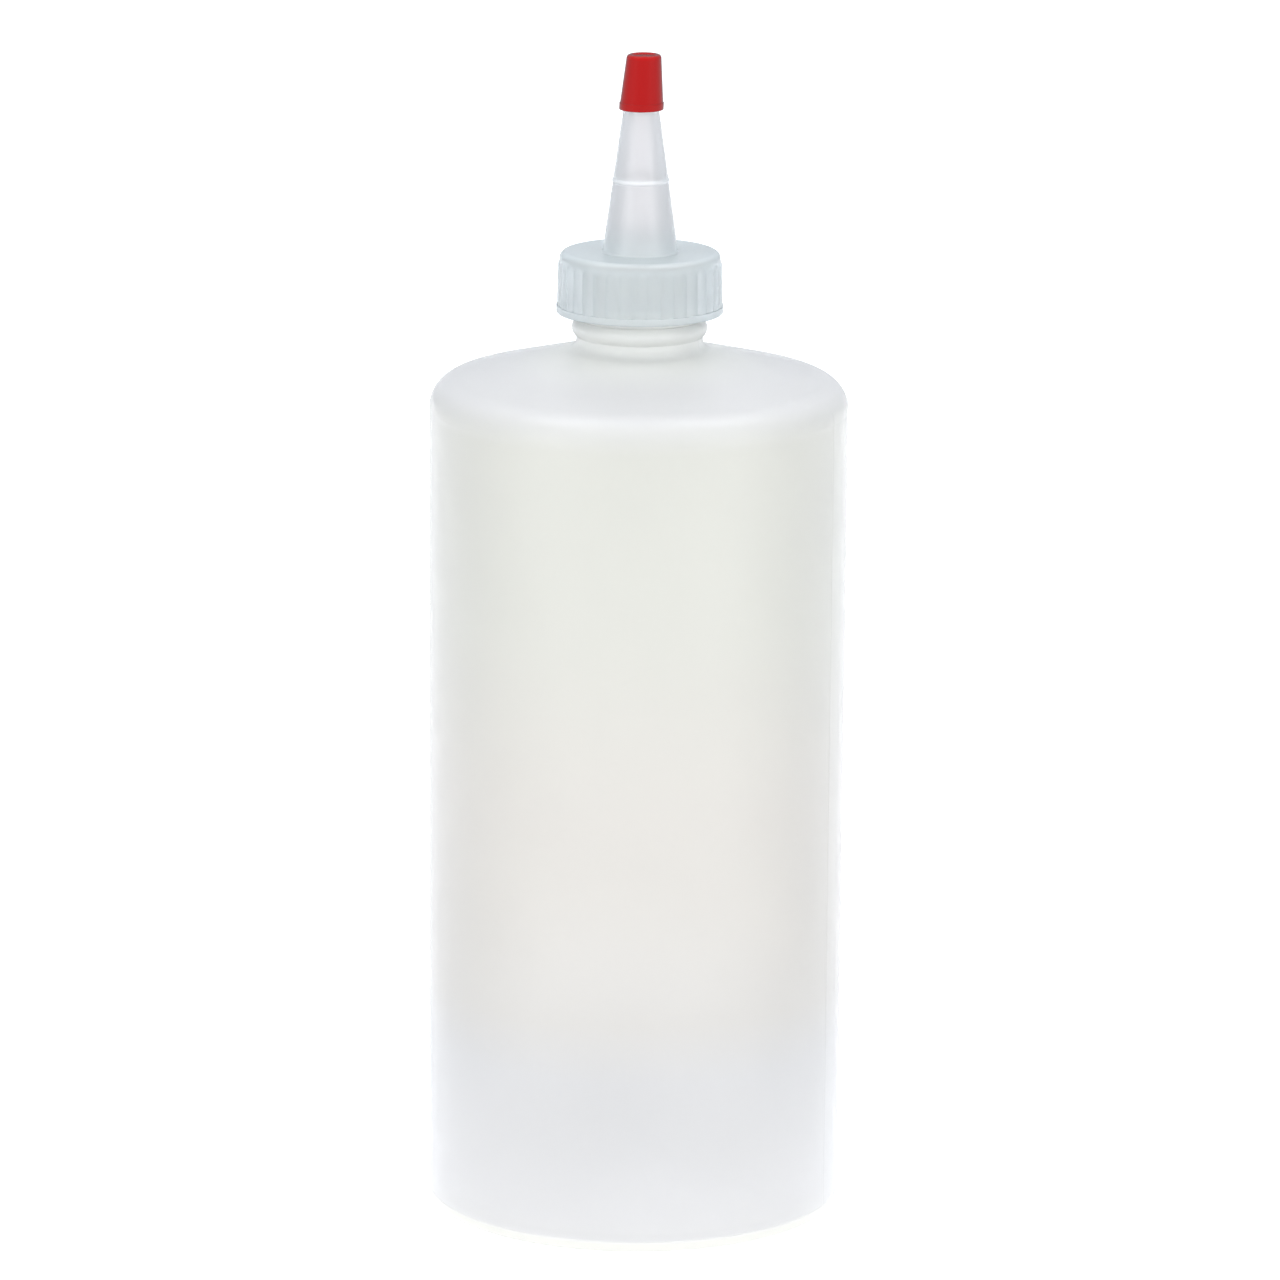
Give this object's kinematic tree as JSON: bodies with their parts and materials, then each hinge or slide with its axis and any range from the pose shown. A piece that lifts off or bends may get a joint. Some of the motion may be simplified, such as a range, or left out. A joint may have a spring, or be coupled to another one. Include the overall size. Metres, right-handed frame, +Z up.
{
  "type": "glue applicator bottle",
  "caption": "Round translucent squeeze bottle with a ribbed screw cap, a tapered dispensing spout and a push-on tip cap.",
  "frame": {"origin": "middle of the base, on the surface that the bottle stands on", "axes": "+Z up along the bottle's axis to the spout's tip; +X and +Y are level, and the front of the bottle faces -Y"},
  "size_m": [0.085, 0.085, 0.2373],
  "materials": {
    "bottle_polythene": "natural low-density polyethylene, milky and translucent, soft satin surface",
    "washer_foam": "white foamed polyethylene sheet, matt",
    "cap_polythene": "natural low-density polyethylene, cool translucent grey, satin surface",
    "tip_cap_red": "opaque red soft vinyl, satin surface"
  },
  "bodies": {
    "bottle_body": {"bottle": "bottle_polythene"},
    "washer_body": {"cap_washer": "washer_foam"},
    "cap_body": {"spout_cap": "cap_polythene"},
    "tip_cap_body": {"tip_cap": "tip_cap_red"}
  },
  "joints": [
    {"name": "cap_rise", "type": "slide", "parent": "bottle_body", "child": "washer_body", "axis": [0, 0, 1], "range_m": [0, 0.00423]},
    {"name": "cap_turn", "type": "hinge", "parent": "washer_body", "child": "cap_body", "pos_m": [0, 0, 0.19], "axis": [0, 0, 1], "range_deg": [0, 360]},
    {"name": "tip_pull", "type": "slide", "parent": "cap_body", "child": "tip_cap_body", "axis": [0, 0, 1], "range_m": [0, 0.012]}
  ],
  "couplings": [
    {"joint": "cap_rise", "follows": "cap_turn", "m_per_rad": 0.00067376}
  ]
}
